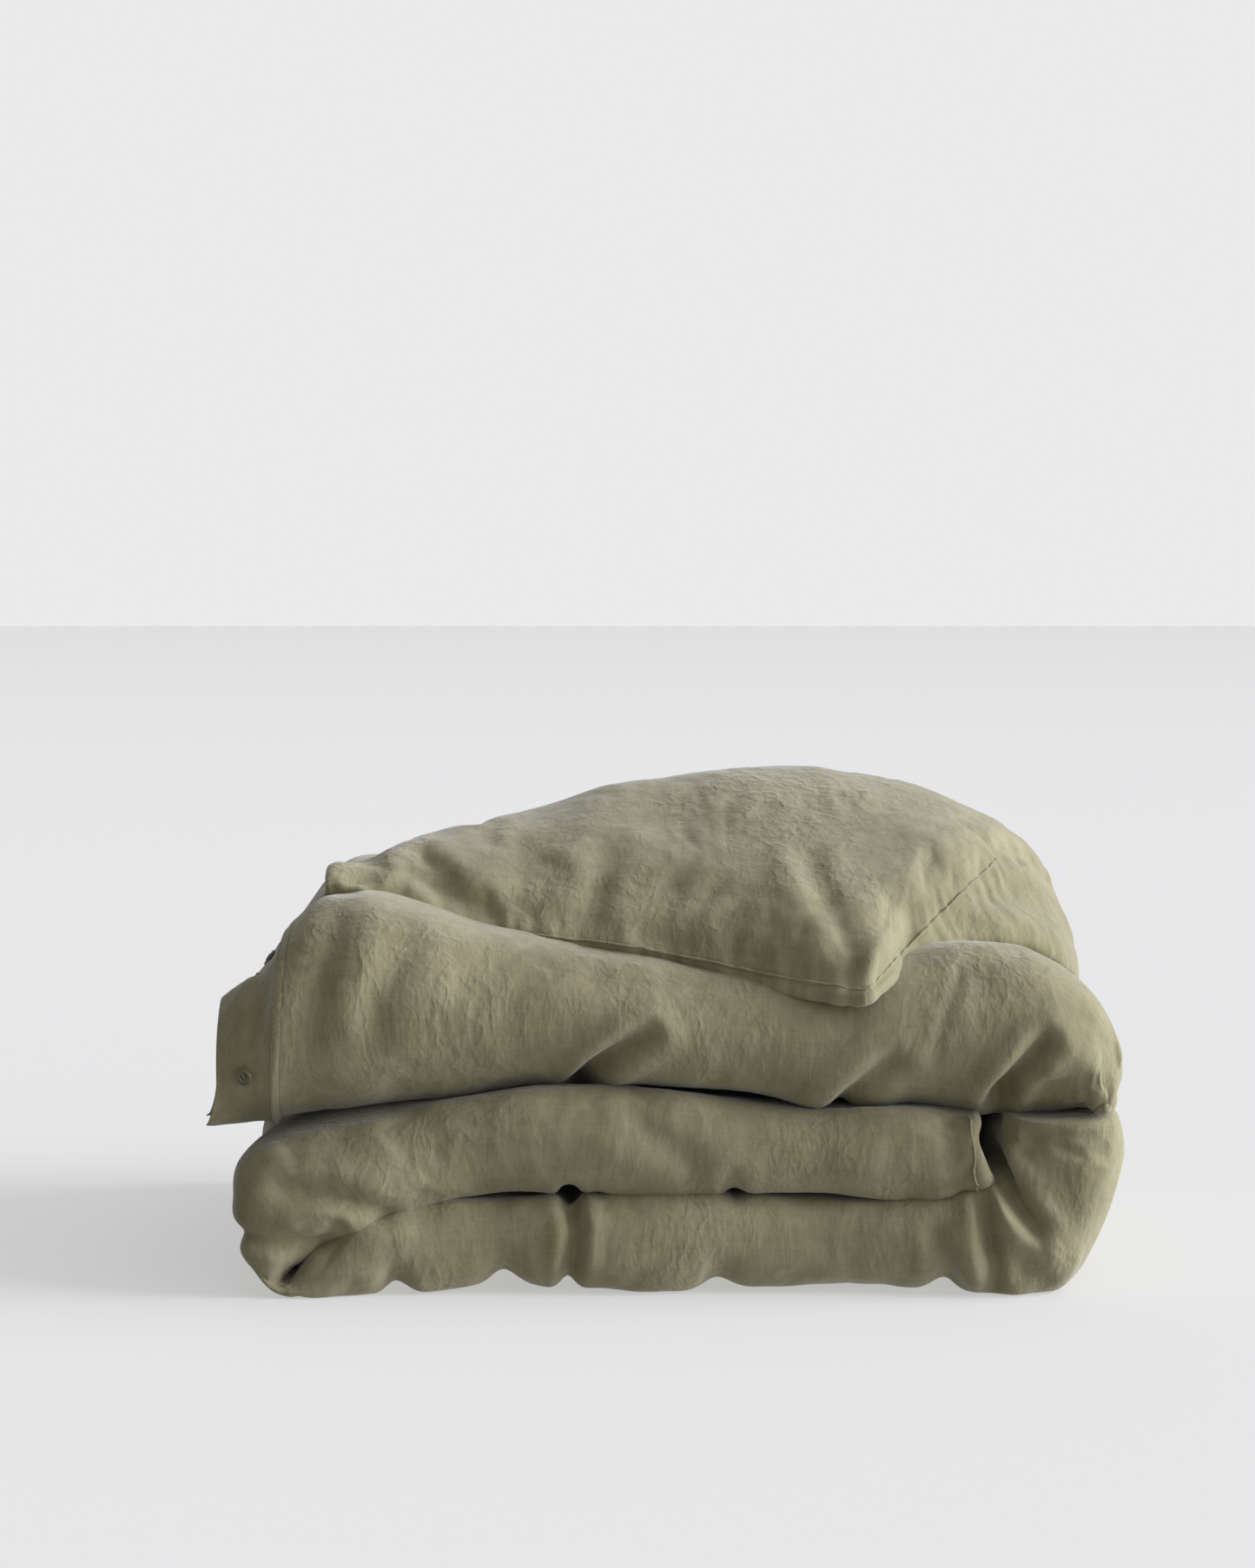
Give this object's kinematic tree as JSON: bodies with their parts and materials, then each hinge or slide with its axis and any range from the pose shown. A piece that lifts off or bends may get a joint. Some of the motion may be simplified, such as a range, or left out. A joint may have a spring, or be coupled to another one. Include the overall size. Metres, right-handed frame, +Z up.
{
  "type": "folded duvet",
  "caption": "Quilt insert buttoned into a linen cover, folded lengthwise and crosswise into a stack whose top layer and turned-over corner lift.",
  "frame": {"origin": "middle of the stack's footprint, on the surface it lies on", "axes": "+X to the right as the folded front is seen, +Y to the back, +Z up"},
  "size_m": [0.71, 0.52, 0.3878],
  "materials": {
    "washed_linen": "washed sage linen, matt with a slubby weave",
    "insert_cotton": "plain white down-proof cotton",
    "down_filling": "loose down filling",
    "button_resin": "dark olive, slightly glossy",
    "sewing_thread": "twisted sewing thread"
  },
  "bodies": {
    "stack": {"cover_base_layer": "washed_linen", "insert_shell_base_layer": "insert_cotton", "down_fill_base_layer": "down_filling", "cover_left_fold": "washed_linen", "insert_shell_left_fold": "insert_cotton", "down_fill_left_fold": "down_filling", "cover_right_fold": "washed_linen", "insert_shell_right_fold": "insert_cotton", "down_fill_right_fold": "down_filling", "cover_middle_layer": "washed_linen", "insert_shell_middle_layer": "insert_cotton", "down_fill_middle_layer": "down_filling", "head_seam": "washed_linen", "cover_tie_front": "washed_linen", "cover_tie_back": "washed_linen", "insert_loop_front": "insert_cotton", "insert_loop_back": "insert_cotton"},
    "top_layer": {"cover_top_layer": "washed_linen", "insert_shell_top_layer": "insert_cotton", "down_fill_top_layer": "down_filling", "buttonhole_band": "washed_linen", "button_band": "washed_linen"},
    "corner_flap": {"cover_corner_flap": "washed_linen", "insert_shell_corner_flap": "insert_cotton", "down_fill_corner_flap": "down_filling", "flap_end_seam": "washed_linen", "flap_side_seam": "washed_linen"},
    "button_1": {"button_1": "button_resin", "thread_1": "sewing_thread"},
    "button_2": {"button_2": "button_resin", "thread_2": "sewing_thread"},
    "button_3": {"button_3": "button_resin", "thread_3": "sewing_thread"},
    "button_4": {"button_4": "button_resin", "thread_4": "sewing_thread"},
    "button_5": {"button_5": "button_resin", "thread_5": "sewing_thread"}
  },
  "joints": [
    {"name": "top_layer_lift", "type": "hinge", "parent": "stack", "child": "top_layer", "pos_m": [0.355, 0, 0.138], "axis": [0, 1, 0], "range_deg": [0, 60]},
    {"name": "corner_flap_lift", "type": "hinge", "parent": "top_layer", "child": "corner_flap", "pos_m": [0.02, 0.005, 0.324], "axis": [-0.9403, -0.3404, 0], "range_deg": [0, 75]},
    {"name": "button_1_turn", "type": "hinge", "parent": "top_layer", "child": "button_1", "pos_m": [-0.32, 0.04658, 0.13639], "axis": [0.1521, 0, -0.9884], "range_deg": [-30, 30], "stiffness_Nm_per_rad": 0.0004},
    {"name": "button_2_turn", "type": "hinge", "parent": "top_layer", "child": "button_2", "pos_m": [-0.32, -0.10342, 0.13639], "axis": [0.1521, 0, -0.9884], "range_deg": [-30, 30], "stiffness_Nm_per_rad": 0.0004},
    {"name": "button_3_turn", "type": "hinge", "parent": "top_layer", "child": "button_3", "pos_m": [-0.32, -0.23724, 0.17121], "axis": [-0.4518, -0.8652, -0.2175], "range_deg": [-30, 30], "stiffness_Nm_per_rad": 0.0004},
    {"name": "button_4_turn", "type": "hinge", "parent": "top_layer", "child": "button_4", "pos_m": [-0.32, -0.12742, 0.22977], "axis": [-0.8334, 0, 0.5527], "range_deg": [-30, 30], "stiffness_Nm_per_rad": 0.0004},
    {"name": "button_5_turn", "type": "hinge", "parent": "top_layer", "child": "button_5", "pos_m": [-0.32, 0.02258, 0.22977], "axis": [-0.8334, 0, 0.5527], "range_deg": [-30, 30], "stiffness_Nm_per_rad": 0.0004}
  ]
}
